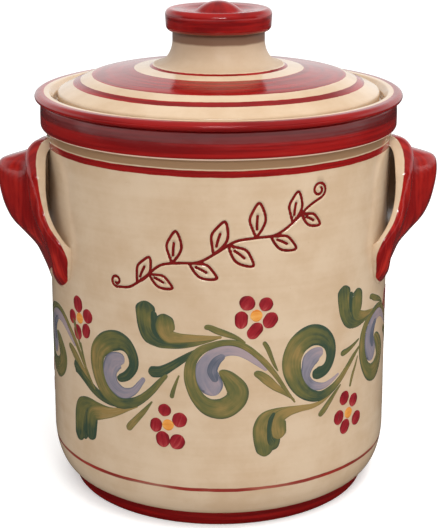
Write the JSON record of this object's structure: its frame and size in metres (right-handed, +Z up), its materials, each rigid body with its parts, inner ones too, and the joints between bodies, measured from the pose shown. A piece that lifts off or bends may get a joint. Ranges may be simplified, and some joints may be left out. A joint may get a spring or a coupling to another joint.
{
  "type": "lidded ceramic crock",
  "caption": "Straight-walled glazed ceramic crock with foot ring, gallery rim, two fluted ear handles and a lift-off domed lid with a mushroom knob.",
  "frame": {"origin": "centre of the foot ring's lower face, on the surface the crock stands on", "axes": "+Z up along the crock's turning axis, +X through the right-hand handle, -Y towards the painted front"},
  "size_m": [0.2592, 0.2126, 0.2858],
  "materials": {
    "cream_glaze": "gloss cream glaze",
    "red_slip": "gloss brushed red underglaze",
    "leaf_green": "painted green under gloss glaze",
    "scroll_blue": "painted blue-grey under gloss glaze",
    "petal_red": "painted red under gloss glaze",
    "flower_ochre": "painted ochre under gloss glaze"
  },
  "bodies": {
    "crock": {"crock_body": "cream_glaze", "foot_ring": "red_slip", "gallery_rim": "red_slip", "handle_left": "red_slip", "handle_right": "red_slip"},
    "lid": {"lid_plate": "cream_glaze", "lid_knob": "red_slip"}
  },
  "joints": [
    {"name": "lid_lift", "type": "slide", "parent": "crock", "child": "lid", "axis": [0, 0, 1], "range_m": [0, 0.12]}
  ]
}
